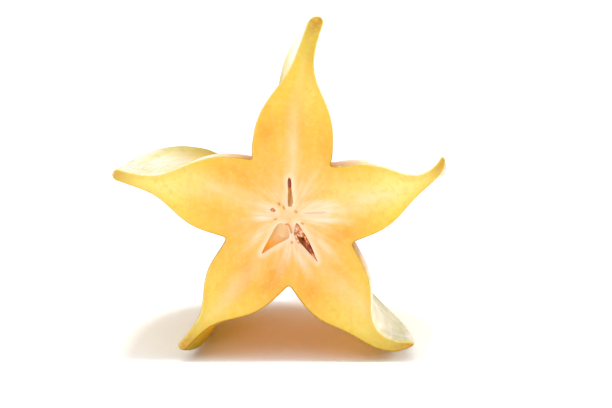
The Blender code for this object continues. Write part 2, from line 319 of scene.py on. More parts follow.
def notch_curve(start, corner, end, index):
    """Rounds the notch between two ribs with a short curve from one flank to the next."""
    a, b, c = (Vector((math.cos(p[0]), math.sin(p[0]))) * p[1] for p in (start, corner, end))
    points = []
    for i in range(1, NOTCH_POINTS + 1):
        t = i / (NOTCH_POINTS + 1)
        p = a * (1 - t) ** 2 + b * 2 * t * (1 - t) + c * t * t
        bearing = math.atan2(p.y, p.x)
        bearing += 2 * math.pi * round((start[0] - bearing) / (2 * math.pi))
        points.append((bearing, p.length, 0.0, index))
    return points


def profile_turn(step):
    share = step / LENGTH_STEPS
    near, far = share**RING_SPREAD, (1 - share) ** RING_SPREAD
    return math.pi / 2 * near / (near + far)


# ---------------------------------------------------------------- the skin, set out by a geometry tree
def skin_grid():
    """Rings of the star's outline. Each point carries what the geometry tree needs to put it in place."""
    mesh = bpy.data.meshes.new("skin_grid")
    fields = {name: [] for name in ("bearing", "distance", "ridge", "turn", "swell", "rib", "girth", "bloom")}
    first = star_outline(0.0)
    flat = [Vector((math.cos(b), math.sin(b))) * d for b, d, _, _ in first]
    per_rib = len(first) // len(RIBS)
    tip_index = FLANK_POINTS + TIP_POINTS
    walked = [0.0]
    for a, b in zip(flat, flat[1:]):
        walked.append(walked[-1] + (b - a).length)
    for step in range(LENGTH_STEPS):
        turn = profile_turn(step)
        depth_share = math.sin(turn) ** (2 / RIDGE_FULLNESS)
        for i, (bearing, distance, ridge, rib) in enumerate(star_outline(depth_share)):
            tip = rib * per_rib + tip_index
            bloom = FLANK_BLOOM_AND_SHADE[rib][i > tip]
            values = (bearing, distance, ridge, turn, RIBS[rib].swell, rib, abs(walked[i] - walked[tip]), bloom)
            for name, value in zip(fields, values):
                fields[name].append(value)
    count = len(first)
    faces = []
    for step in range(LENGTH_STEPS - 1):
        near, far = step * count, (step + 1) * count
        for i in range(count):
            faces.append((near + i, near + (i + 1) % count, far + (i + 1) % count, far + i))
    mesh.from_pydata([(0, 0, 0)] * (count * LENGTH_STEPS), [], faces)
    for name, values in fields.items():
        mesh.attributes.new(name, "FLOAT", "POINT").data.foreach_set("value", values)
    return mesh, count


def new_form(name, sizes):
    """A geometry tree with a mesh input, a finish, and its sizes as named inputs."""
    tree = bpy.data.node_groups.new(name, "GeometryNodeTree")
    face = tree.interface
    face.new_socket("Mesh", in_out="INPUT", socket_type="NodeSocketGeometry")
    face.new_socket("Finish", in_out="INPUT", socket_type="NodeSocketMaterial")
    for size, value in sizes.items():
        face.new_socket(size, in_out="INPUT", socket_type="NodeSocketFloat").default_value = value
    face.new_socket("Mesh", in_out="OUTPUT", socket_type="NodeSocketGeometry")
    return tree, tree.nodes.new("NodeGroupInput").outputs


def finish_form(tree, given, made):
    """Every form ends in real geometry with its finish set."""
    real = add(tree, "GeometryNodeRealizeInstances", {"Geometry": made})
    smooth = add(tree, "GeometryNodeSetShadeSmooth", {"Geometry": real})
    finished = add(tree, "GeometryNodeSetMaterial", {"Geometry": smooth, "Material": given["Finish"]})
    add(tree, "NodeGroupOutput", (finished,))
    return tree


def push_out(tree, given, mesh, rise):
    """Moves the surface along its own normals, and finishes the form."""
    normal = add(tree, "GeometryNodeInputNormal")
    offset = add(tree, "ShaderNodeVectorMath", {0: normal, "Scale": rise}, operation="SCALE")
    return finish_form(tree, given, add(tree, "GeometryNodeSetPosition", {"Geometry": mesh, "Offset": offset}))


def roughen(tree, given, mesh, place, kind, detail, level=0.5):
    """Raises the surface where noise is above a level and sinks it elsewhere, by the kind's size and height."""
    scale = add(tree, "ShaderNodeMath", (1.0, given[f"{kind} size"]), operation="DIVIDE")
    rough = add(tree, "ShaderNodeTexNoise", {"Vector": place, "Scale": scale, "Detail": detail})
    rough = add(tree, "ShaderNodeMath", (rough, level), operation="SUBTRACT")
    rise = add(tree, "ShaderNodeMath", (rough, given[f"{kind} height"]), operation="MULTIPLY")
    return push_out(tree, given, mesh, rise)


def ribbed_form():
    """Sets the grid's points on the fruit: ridges and valleys are two superellipses, drawn in at the stem."""
    sizes = {
        "Half length": HALF_LENGTH,
        "Ridge fullness": RIDGE_FULLNESS,
        "Valley fullness": VALLEY_FULLNESS,
        "Stem dimple": STEM_DIMPLE,
        "Dimple radius": DIMPLE_RADIUS,
        "Unevenness": 0.5,
        "Swelling size": 13.0,
        "Wrinkles": 0.16,
        "Even edge": 4.0,
    }
    tree, given = new_form("ribbed_form", sizes)
    known = {}
    for name in ("turn", "ridge", "swell", "distance", "bearing", "girth", "rib"):
        known[name] = add(tree, "GeometryNodeInputNamedAttribute", {"Name": name}, data_type="FLOAT")
    sine = add(tree, "ShaderNodeMath", (known["turn"],), operation="SINE")
    cosine = add(tree, "ShaderNodeMath", (known["turn"],), operation="COSINE")
    cosine = add(tree, "ShaderNodeMath", (cosine, 0.0), operation="MAXIMUM")
    radial, lengthwise = {}, {}
    for line in ("Ridge", "Valley"):
        power = add(tree, "ShaderNodeMath", (2.0, given[f"{line} fullness"]), operation="DIVIDE")
        radial[line] = add(tree, "ShaderNodeMath", (cosine, power), operation="POWER")
        lengthwise[line] = add(tree, "ShaderNodeMath", (sine, power), operation="POWER")
    half_turn = add(tree, "ShaderNodeMath", (lengthwise["Ridge"], math.pi), operation="MULTIPLY")
    arch = add(tree, "ShaderNodeMath", (half_turn,), operation="SINE")
    swollen = add(tree, "ShaderNodeMath", (known["swell"], arch, radial["Ridge"]), operation="MULTIPLY_ADD")
    share = add(tree, "ShaderNodeMix", {"Factor": known["ridge"], "A": radial["Valley"], "B": swollen})
    radius = add(tree, "ShaderNodeMath", (share, known["distance"]), operation="MULTIPLY")
    ends = {"Factor": known["ridge"], "A": lengthwise["Valley"], "B": lengthwise["Ridge"]}
    depth_share = add(tree, "ShaderNodeMix", ends)

    # The stem end is drawn in round the stalk.
    spread = add(tree, "ShaderNodeMath", (radius, given["Dimple radius"]), operation="DIVIDE")
    spread = add(tree, "ShaderNodeMath", (spread, spread), operation="MULTIPLY")
    spread = add(tree, "ShaderNodeMath", (spread, -1.0), operation="MULTIPLY")
    falloff = add(tree, "ShaderNodeMath", (spread,), operation="EXPONENT")
    near_stem = add(tree, "ShaderNodeMath", (depth_share, 4.0), operation="POWER")
    dimple = add(tree, "ShaderNodeMath", (near_stem, falloff), operation="MULTIPLY")
    dimple = add(tree, "ShaderNodeMath", (dimple, given["Stem dimple"]), operation="MULTIPLY")
    depth = add(tree, "ShaderNodeMath", (depth_share, given["Half length"]), operation="MULTIPLY")
    depth = add(tree, "ShaderNodeMath", (depth, dimple), operation="SUBTRACT")

    around = add(tree, "ShaderNodeMath", (known["bearing"],), operation="COSINE")
    upward = add(tree, "ShaderNodeMath", (known["bearing"],), operation="SINE")
    x = add(tree, "ShaderNodeMath", (radius, around), operation="MULTIPLY")
    z = add(tree, "ShaderNodeMath", (radius, upward), operation="MULTIPLY")
    place = add(tree, "ShaderNodeCombineXYZ", {"X": x, "Y": depth, "Z": z})
    formed = add(tree, "GeometryNodeSetPosition", {"Geometry": given["Mesh"], "Position": place})

    # Gentle swellings all over, and finer furrows that run from the cut to the stem.
    scale = add(tree, "ShaderNodeMath", (1.0, given["Swelling size"]), operation="DIVIDE")
    bumps = add(tree, "ShaderNodeTexNoise", {"Vector": place, "Scale": scale, "Detail": 2.0})
    slow = add(tree, "ShaderNodeMath", (depth, 0.05), operation="MULTIPLY")
    apart = add(tree, "ShaderNodeMath", (known["rib"], RIBS_APART), operation="MULTIPLY")
    lines = add(tree, "ShaderNodeCombineXYZ", {"X": known["girth"], "Y": slow, "Z": apart})
    furrows = add(tree, "ShaderNodeTexNoise", {"Vector": lines, "Scale": 0.32, "Detail": 2.0})
    swelling = add(tree, "ShaderNodeMath", (bumps, 0.5), operation="SUBTRACT")
    swelling = add(tree, "ShaderNodeMath", (swelling, given["Unevenness"]), operation="MULTIPLY")
    furrow = add(tree, "ShaderNodeMath", (furrows, 0.5), operation="SUBTRACT")
    rise = add(tree, "ShaderNodeMath", (furrow, given["Wrinkles"], swelling), operation="MULTIPLY_ADD")
    fade_in = add(tree, "ShaderNodeMath", (depth, given["Even edge"]), operation="DIVIDE", use_clamp=True)
    rise = add(tree, "ShaderNodeMath", (rise, fade_in), operation="MULTIPLY")
    return push_out(tree, given, formed, rise)


def kernel_form():
    """A seed or a lump of jelly: blunt where it faces the cut, pointed behind, thin across, and wrinkled."""
    sizes = {
        "Half width": 2.2,
        "Half length": 4.3,
        "Half thickness": 0.5,
        "Bluntness": 0.4,
        "Sharpness": 1.5,
        "Wrinkle size": 1.0,
        "Wrinkle height": 0.1,
    }
    tree, given = new_form("kernel_form", sizes)
    ball = add(tree, "GeometryNodeMeshUVSphere", {"Segments": 48, "Rings": 40, "Radius": 1.0}, "Mesh")
    # The ball's poles are laid along Y below, which mirrors it, so its faces are turned round first.
    ball = add(tree, "GeometryNodeFlipFaces", {"Mesh": ball})
    place = add(tree, "GeometryNodeInputPosition")
    x = add(tree, "ShaderNodeSeparateXYZ", (place,), "X")
    z = add(tree, "ShaderNodeSeparateXYZ", (place,), "Y")
    y = add(tree, "ShaderNodeSeparateXYZ", (place,), "Z")
    behind = {"Value": y, "From Min": -0.6, "From Max": 0.6, "To Min": given["Bluntness"]}
    power = add(tree, "ShaderNodeMapRange", {**behind, "To Max": given["Sharpness"]})
    square = add(tree, "ShaderNodeMath", (y, y), operation="MULTIPLY")
    square = add(tree, "ShaderNodeMath", (1.0001, square), operation="SUBTRACT")
    round_radius = add(tree, "ShaderNodeMath", (square,), operation="SQRT")
    power = add(tree, "ShaderNodeMath", (power, 1.0), operation="SUBTRACT")
    girth = add(tree, "ShaderNodeMath", (round_radius, power), operation="POWER")
    wide = add(tree, "ShaderNodeMath", (girth, given["Half width"]), operation="MULTIPLY")
    thick = add(tree, "ShaderNodeMath", (girth, given["Half thickness"]), operation="MULTIPLY")
    across = {
        "X": add(tree, "ShaderNodeMath", (x, wide), operation="MULTIPLY"),
        "Y": add(tree, "ShaderNodeMath", (y, given["Half length"]), operation="MULTIPLY"),
        "Z": add(tree, "ShaderNodeMath", (z, thick), operation="MULTIPLY"),
    }
    shaped = add(tree, "ShaderNodeCombineXYZ", across)
    formed = add(tree, "GeometryNodeSetPosition", {"Geometry": ball, "Position": shaped})
    return roughen(tree, given, formed, place, "Wrinkle", detail=3.0, level=0.4)


def strand_form():
    """A moist thread along a path: thickest in its middle, with an uneven surface."""
    sizes = {"Radius": 0.2, "Spacing": 0.07, "Lump size": 0.5, "Lump height": 0.1}
    tree, given = new_form("strand_form", sizes)
    path = add(tree, "GeometryNodeMeshToCurve", {"Mesh": given["Mesh"]})
    bent = add(tree, "GeometryNodeCurveSplineType", {"Curve": path}, spline_type="CATMULL_ROM")
    fine = add(tree, "GeometryNodeResampleCurve", {"Curve": bent, "Length": given["Spacing"]}, mode="LENGTH")
    share = add(tree, "GeometryNodeSplineParameter")
    rest = add(tree, "ShaderNodeMath", (1.0, share), operation="SUBTRACT")
    swell = add(tree, "ShaderNodeMath", (share, rest), operation="MULTIPLY")
    swell = add(tree, "ShaderNodeMath", (swell, 4.0, 0.02), operation="MULTIPLY_ADD")
    swell = add(tree, "ShaderNodeMath", (swell,), operation="SQRT")
    radius = add(tree, "ShaderNodeMath", (swell, given["Radius"]), operation="MULTIPLY")
    sized = add(tree, "GeometryNodeSetCurveRadius", {"Curve": fine, "Radius": radius})
    ring = add(tree, "GeometryNodeCurvePrimitiveCircle", {"Resolution": 12, "Radius": 1.0})
    swept = {"Curve": sized, "Profile Curve": ring, "Scale": radius, "Fill Caps": True}
    tube = add(tree, "GeometryNodeCurveToMesh", swept)
    return roughen(tree, given, tube, add(tree, "GeometryNodeInputPosition"), "Lump", detail=2.0)


def stalk_form():
    """The dried stalk: a grooved rod that flares where it meets the fruit and ends in a rough break."""
    sizes = {
        "Radius": 1.6,
        "Length": 7.8,
        "Flare": 0.35,
        "Flare length": 0.9,
        "Grooves": 9.0,
        "Groove depth": 0.06,
        "Knob size": 1.25,
        "Knob height": 0.35,
    }
    tree, given = new_form("stalk_form", sizes)
    parts = {"Vertices": 64, "Side Segments": 36, "Fill Segments": 8}
    rod = {**parts, "Radius": given["Radius"], "Depth": given["Length"]}
    rod = add(tree, "GeometryNodeMeshCylinder", rod, "Mesh")
    place = add(tree, "GeometryNodeInputPosition")
    x = add(tree, "ShaderNodeSeparateXYZ", (place,), "X")
    y = add(tree, "ShaderNodeSeparateXYZ", (place,), "Y")
    z = add(tree, "ShaderNodeSeparateXYZ", (place,), "Z")
    height = add(tree, "ShaderNodeMath", (given["Length"], 0.5, z), operation="MULTIPLY_ADD")
    height = add(tree, "ShaderNodeMath", (height, given["Flare length"]), operation="DIVIDE")
    height = add(tree, "ShaderNodeMath", (height, -1.0), operation="MULTIPLY")
    flare = add(tree, "ShaderNodeMath", (height,), operation="EXPONENT")
    flare = add(tree, "ShaderNodeMath", (flare, given["Flare"]), operation="MULTIPLY")
    turn = add(tree, "ShaderNodeMath", (y, x), operation="ARCTAN2")
    turn = add(tree, "ShaderNodeMath", (turn, given["Grooves"]), operation="MULTIPLY")
    groove = add(tree, "ShaderNodeMath", (turn,), operation="COSINE")
    wider = add(tree, "ShaderNodeMath", (groove, given["Groove depth"], flare), operation="MULTIPLY_ADD")
    outward = add(tree, "ShaderNodeCombineXYZ", {"X": x, "Y": y})
    spread = add(tree, "ShaderNodeVectorMath", {0: outward, "Scale": wider}, operation="SCALE")
    shaped = add(tree, "GeometryNodeSetPosition", {"Geometry": rod, "Offset": spread})
    return roughen(tree, given, shaped, place, "Knob", detail=4.0)


def calyx_form():
    """Sets copies of one sepal in a ring, each a little different."""
    tree, given = new_form("calyx_form", {"Sepals": 5.0, "Seat radius": 1.5, "Wobble": 0.22})
    ring = add(tree, "GeometryNodeMeshCircle", {"Vertices": given["Sepals"], "Radius": given["Seat radius"]})
    index = add(tree, "GeometryNodeInputIndex")
    step = add(tree, "ShaderNodeMath", (2 * math.pi, given["Sepals"]), operation="DIVIDE")
    turn = add(tree, "ShaderNodeMath", (index, step), operation="MULTIPLY")
    facing = add(tree, "ShaderNodeCombineXYZ", {"Z": turn})
    chance = {"Min": (-1, -1, -1), "Max": (1, 1, 1), "Seed": 5}
    chance = add(tree, "FunctionNodeRandomValue", chance, "Value", data_type="FLOAT_VECTOR")
    wobble = add(tree, "ShaderNodeVectorMath", {0: chance, "Scale": given["Wobble"]}, operation="SCALE")
    turned = add(tree, "ShaderNodeVectorMath", (facing, wobble), operation="ADD")
    turned = add(tree, "FunctionNodeEulerToRotation", (turned,))
    size = add(tree, "FunctionNodeRandomValue", {LEAST: 0.85, MOST: 1.1, "Seed": 2}, NUMBER, data_type="FLOAT")
    copies = {"Points": ring, "Instance": given["Mesh"], "Rotation": turned, "Scale": size}
    return finish_form(tree, given, add(tree, "GeometryNodeInstanceOnPoints", copies))


def made_by(form, name, finish, mesh=None, sizes=None, wall=0.0):
    """The plain mesh that a form makes, given the sizes that differ from its usual ones."""
    thing = bpy.data.objects.new(name, mesh or bpy.data.meshes.new(name))
    bpy.context.scene.collection.objects.link(thing)
    modifier = thing.modifiers.new(name, "NODES")
    modifier.node_group = form
    wanted = {"Finish": finish, **(sizes or {})}
    for socket in form.interface.items_tree:
        if socket.in_out == "INPUT" and socket.name in wanted:
            modifier[socket.identifier] = wanted[socket.name]
    if wall:
        thickness = thing.modifiers.new("wall", "SOLIDIFY")
        thickness.thickness = wall
    made = bpy.data.meshes.new_from_object(thing.evaluated_get(bpy.context.evaluated_depsgraph_get()))
    made.name = name
    bpy.data.objects.remove(thing)
    return made


# ---------------------------------------------------------------- the cut face
def rounded_loop(corners, rounds):
    """Cuts the corners of a closed outline until it is smooth."""
    points = [Vector(c) for c in corners]
    for _ in range(rounds):
        points = [q for a, b in zip(points, points[1:] + points[:1]) for q in (a.lerp(b, 0.25), a.lerp(b, 0.75))]
    return points


def chamber_opening(chamber):
    """The chamber's opening in the cut, as (x, z) points."""
    out, across = polar(chamber.bearing, 1), polar(chamber.bearing + 90, 1)
    return [out * p.x + across * p.y for p in rounded_loop(chamber.corners, CORNER_CUTS)]


def nearest(points, targets):
    """Distance from each point to the nearest of the target points, worked out a batch of targets at a time."""
    points, targets = np.asarray(points), np.asarray(targets)
    best = np.full(len(points), np.inf)
    batch = 64
    for start in range(0, len(targets), batch):
        gap = points[:, None, :] - targets[None, start : start + batch, :]
        best = np.minimum(best, np.sqrt((gap**2).sum(2)).min(1))
    return best


def dense_line(points, spacing, closed=True):
    """The same line with points added, so that none are further apart than the spacing."""
    ends = list(zip(points, points[1:] + points[:1])) if closed else list(zip(points, points[1:]))
    line = []
    for a, b in ends:
        steps = max(1, math.ceil((b - a).length / spacing))
        line += [a.lerp(b, i / steps) for i in range(steps)]
    return line


def inside(points, loop):
    """Which of the points lie inside a closed loop."""
    x, z = np.asarray(points).T
    crossed = np.zeros(len(x), bool)
    for a, b in zip(loop, loop[1:] + loop[:1]):
        straddles = (a.y > z) != (b.y > z)
        with np.errstate(divide="ignore", invalid="ignore"):
            crossing = (b.x - a.x) * (z - a.y) / (b.y - a.y) + a.x
        crossed ^= straddles & (x < crossing)
    return crossed


def staggered_points(spacing, reach):
    """Rows of points over a square, every other row shifted by half a step, each nudged a little."""
    rng = np.random.default_rng(7)
    rows = np.arange(-reach, reach, spacing * math.sqrt(3) / 2)
    columns = np.arange(-reach, reach, spacing)
    x, z = np.meshgrid(columns, rows)
    x[1::2] += spacing / 2
    points = np.stack([x.ravel(), z.ravel()], 1)
    return points + rng.uniform(-POINT_NUDGE, POINT_NUDGE, points.shape) * spacing


def flesh_points(rim, openings):
    """Points spread over the cut: fine round the core, coarser towards the tips, none too near an edge."""
    walls = [p for loop in openings for p in dense_line(loop, EDGE_SPACING)]
    fine = staggered_points(CORE_SPACING, CORE_RADIUS)
    fine = fine[np.hypot(*fine.T) < CORE_RADIUS]
    for loop in openings:
        fine = fine[~inside(fine, loop)]
    fine = fine[nearest(fine, walls) > CORE_SPACING * 0.6]
    coarse = staggered_points(FLESH_SPACING, max(rib.reach for rib in RIBS))
    coarse = coarse[np.hypot(*coarse.T) > CORE_RADIUS + FLESH_SPACING / 2]
    chosen = np.concatenate([fine, coarse])
    chosen = chosen[inside(chosen, rim)]
    return chosen[nearest(chosen, dense_line(rim, RIM_SPACING)) > CORE_SPACING]


def inset_outline(outline, amount):
    """Moves every point of a closed anticlockwise outline inwards by the amount."""
    moved = []
    for before, here, after in zip(outline[-1:] + outline[:-1], outline, outline[1:] + outline[:1]):
        direction = (after - before).normalized()
        moved.append(here + Vector((-direction.y, direction.x)) * amount)
    return moved


def rib_place(x, z):
    """Where a point of the cut lies: its share of the way to the tip, and from the middle to the flank."""
    distance, bearing = max(0.01, math.hypot(x, z)), math.atan2(z, x)
    best = (0.0, math.inf)
    for rib in RIBS:
        offset = bearing - rib_bearing(rib, distance, 0.0)
        offset -= 2 * math.pi * round(offset / (2 * math.pi))
        measured = min(max(distance, WIDTH_FROM), rib.reach - WIDTH_TO)
        half = math.asin(min(0.6, rib_width(rib, measured, 0.0) / (2 * measured)))
        if abs(offset) / half < best[1]:
            best = (distance / rib.reach, abs(offset) / half)
    return best


def strand_amount(points):
    """How much of a vessel strand shows at each point, from 0 to 1."""
    amount = np.zeros(len(points))
    for strand in STRANDS:
        line = dense_line([Vector(p) for p in strand.points], FINE_SPACING, closed=False)
        amount = np.maximum(amount, np.exp(-((nearest(points, line) / strand.radius) ** 2)))
    return amount


def patch_amount(points, patches):
    """How strongly soft, long patches cover each point, from 0 to 1."""
    amount = np.zeros(len(points))
    for x, z, half_length, half_width, bearing, strength in patches:
        turn = math.radians(bearing)
        away = points - np.array((x, z))
        lengthwise = (away[:, 0] * math.cos(turn) + away[:, 1] * math.sin(turn)) / half_length
        sideways = (away[:, 1] * math.cos(turn) - away[:, 0] * math.sin(turn)) / half_width
        amount = np.maximum(amount, strength * np.exp(-(lengthwise**2) - sideways**2))
    return amount


MARKS = ("ridge", "girth", "rib", "bloom", "depth", "along", "across", "rim", "wall", "strand", *PATCHES)


def build_fruit_body(flesh, lining, skin):
    """The whole half in one closed skin: ribbed outside, flat cut face and the linings of the chambers."""
    grid, count = skin_grid()
    formed = made_by(ribbed_form(), "fruit_form", skin, grid)
    bm = bmesh.new()
    bm.from_mesh(formed)
    bpy.data.meshes.remove(formed)
    bm.verts.ensure_lookup_table()
    mark = {name: bm.verts.layers.float.get(name) or bm.verts.layers.float.new(name) for name in MARKS}
    for vert in bm.verts:
        vert[mark["depth"]] = vert.co.y
    outer = [bm.verts[i] for i in range(count)]
    last = [bm.verts[(LENGTH_STEPS - 1) * count + i] for i in range(count)]
    pole = bm.verts.new((0, HALF_LENGTH - STEM_DIMPLE, 0))
    pole[mark["depth"]] = pole.co.y
    for i in range(count):
        bm.faces.new((last[i], last[(i + 1) % count], pole))

    # The peel's edge is rounded over in two steps, down to the rim of the flat flesh.
    outline = [Vector((v.co.x, v.co.z)) for v in outer]
    for vert in outer:
        vert.co.y = RIM_ROUNDING
    rings = [outer]
    halfway = 0.3 * RIM_ROUNDING
    for inset, depth in ((halfway, halfway), (RIM_ROUNDING, 0.0)):
        ring = []
        for vert, place in zip(outer, inset_outline(outline, inset)):
            new = bm.verts.new((place.x, depth, place.y))
            for name in ("ridge", "girth", "rib", "bloom"):
                new[mark[name]] = vert[mark[name]]
            ring.append(new)
        rings.append(ring)
    for near, far in zip(rings, rings[1:]):
        for i in range(count):
            bm.faces.new((near[i], far[i], far[(i + 1) % count], near[(i + 1) % count]))
    rim_loop = [Vector((v.co.x, v.co.z)) for v in rings[-1]]

    # The chambers' linings close in a rounded end.
    openings = [chamber_opening(c) for c in CHAMBERS.values()]
    lips = []
    for chamber, loop in zip(CHAMBERS.values(), openings):
        centre = sum(loop, Vector((0, 0))) / len(loop)
        lining_rings = []
        for step in range(LINING_STEPS):
            share = step / LINING_STEPS
            shrink = math.sqrt(1 - share**2)
            ring = []
            for p in loop:
                q = centre + (p - centre) * shrink
                vert = bm.verts.new((q.x, share * chamber.depth, q.y))
                vert[mark["depth"]] = share * chamber.depth
                ring.append(vert)
            lining_rings.append(ring)
        end = bm.verts.new((centre.x, chamber.depth, centre.y))
        end[mark["depth"]] = chamber.depth
        for near, far in zip(lining_rings, lining_rings[1:]):
            for i in range(len(loop)):
                j = (i + 1) % len(loop)
                bm.faces.new((near[i], near[j], far[j], far[i])).material_index = 1
        for i in range(len(loop)):
            bm.faces.new((lining_rings[-1][i], lining_rings[-1][(i + 1) % len(loop)], end)).material_index = 1
        lips.append(lining_rings[0])

    # The flat flesh joins the rim to the lips of the chambers.
    borders = [rings[-1]] + lips
    loops = [rim_loop] + openings
    flat, edges, faces, owners = [], [], [], []
    for loop, verts in zip(loops, borders):
        start = len(flat)
        flat += loop
        owners += verts
        edges += [(start + i, start + (i + 1) % len(loop)) for i in range(len(loop))]
        faces.append(list(range(start, start + len(loop))))
    flat += [Vector(p) for p in flesh_points(rim_loop, openings)]
    inside_only, tolerance = 1, 1e-6
    meshed = geometry.delaunay_2d_cdt(flat, edges, faces, inside_only, tolerance)
    made, _, triangles, sources, _, inside_of = meshed
    verts = []
    for place, source in zip(made, sources):
        known = [i for i in source if i < len(owners)]
        verts.append(owners[known[0]] if known else bm.verts.new((place.x, 0, place.y)))
    for triangle, owner in zip(triangles, inside_of):
        if owner == [0]:
            bm.faces.new([verts[i] for i in triangle]).material_index = 2
    gaps = [edge for edge in bm.edges if edge.is_boundary]
    for face in bmesh.ops.holes_fill(bm, edges=gaps, sides=0)["faces"]:
        face.material_index = 2
    bmesh.ops.recalc_face_normals(bm, faces=bm.faces)

    cut = list({v for f in bm.faces if f.material_index == 2 for v in f.verts})
    points = np.array([(v.co.x, v.co.z) for v in cut])
    rim_gap = nearest(points, dense_line(outline, EDGE_SPACING))
    wall_gap = nearest(points, [p for loop in openings for p in dense_line(loop, FINE_SPACING)])
    strands = strand_amount(points)
    patched = {kind: patch_amount(points, patches) for kind, patches in PATCHES.items()}
    for i, vert in enumerate(cut):
        x, z = points[i]
        along, across = rib_place(x, z)
        for name, value in (
            ("along", along),
            ("across", across),
            ("rim", rim_gap[i]),
            ("wall", wall_gap[i]),
            ("strand", strands[i]),
            *((kind, amount[i]) for kind, amount in patched.items()),
        ):
            vert[mark[name]] = value
        # A knife leaves a slightly wavy cut, and the flesh sinks a little towards the chambers.
        wave = sum(noise.noise(Vector((x * often, z * often, at))) * height for often, at, height in KNIFE_WAVES)
        sink = LINING_ROUNDING * math.exp(-wall_gap[i] / LINING_FADE)
        if rim_gap[i] > RIM_ROUNDING * 1.5:
            vert.co.y += sink + wave * min(1.0, rim_gap[i] - RIM_ROUNDING)
        else:
            vert.co.y += sink

    mesh = bpy.data.meshes.new("star_fruit_body")
    for material in (skin, lining, flesh):
        mesh.materials.append(material)
    for face in bm.faces:
        face.smooth = True
    bm.to_mesh(mesh)
    bm.free()
    for name in ("bearing", "distance", "turn", "swell"):
        if name in mesh.attributes:
            mesh.attributes.remove(mesh.attributes[name])
    return mesh


# ---------------------------------------------------------------- materials
def new_material(name):
    material = bpy.data.materials.new(name)
    material.use_nodes = True
    tree = material.node_tree
    return material, tree, tree.nodes["Principled BSDF"]


def settle(tree, shader, **values):
    """Sets the shader's own sockets, and links those whose value is worked out by other nodes."""
    for name, value in values.items():
        socket = shader.inputs[name.replace("_", " ")]
        if isinstance(value, bpy.types.NodeSocket):
            tree.links.new(value, socket)
        else:
            socket.default_value = value


def let_light_through(tree, shader, colour, tint, share):
    """Fresh flesh and thin peel pass light on: this share of it goes in here and comes out somewhere else."""
    colours = {"Factor": 1.0, A: colour, B: tint}
    passed = add(tree, "ShaderNodeMix", colours, MIXED, data_type="RGBA", blend_type="MULTIPLY")
    through = add(tree, "ShaderNodeBsdfTranslucent", {"Color": passed})
    both = add(tree, "ShaderNodeMixShader", {"Fac": share, 1: shader.outputs[0], 2: through})
    tree.links.new(both, tree.nodes["Material Output"].inputs["Surface"])


def ramped(value, span):
    """Inputs that turn a value into another: the span is (from, to, result at from, result at to)."""
    return {"Value": value, **dict(zip(("From Min", "From Max", "To Min", "To Max"), span))}


def stain(tree, colour, cause, span, stained):
    """Lays a second colour over the first, by an amount that follows its cause over the span."""
    amount = add(tree, "ShaderNodeMapRange", ramped(cause, span))
    return add(tree, "ShaderNodeMix", {"Factor": amount, A: colour, B: stained}, MIXED, data_type="RGBA")


def fruit_coordinates(tree, pose):
    """Object coordinates turned back into the fruit's frame, in millimetres."""
    unturned = pose.inverted()
    place = {
        "Vector": add(tree, "ShaderNodeTexCoord", output="Object"),
        "Location": unturned.translation / MM,
        "Rotation": unturned.to_euler(),
        "Scale": (1 / MM,) * 3,
    }
    return add(tree, "ShaderNodeMapping", place)


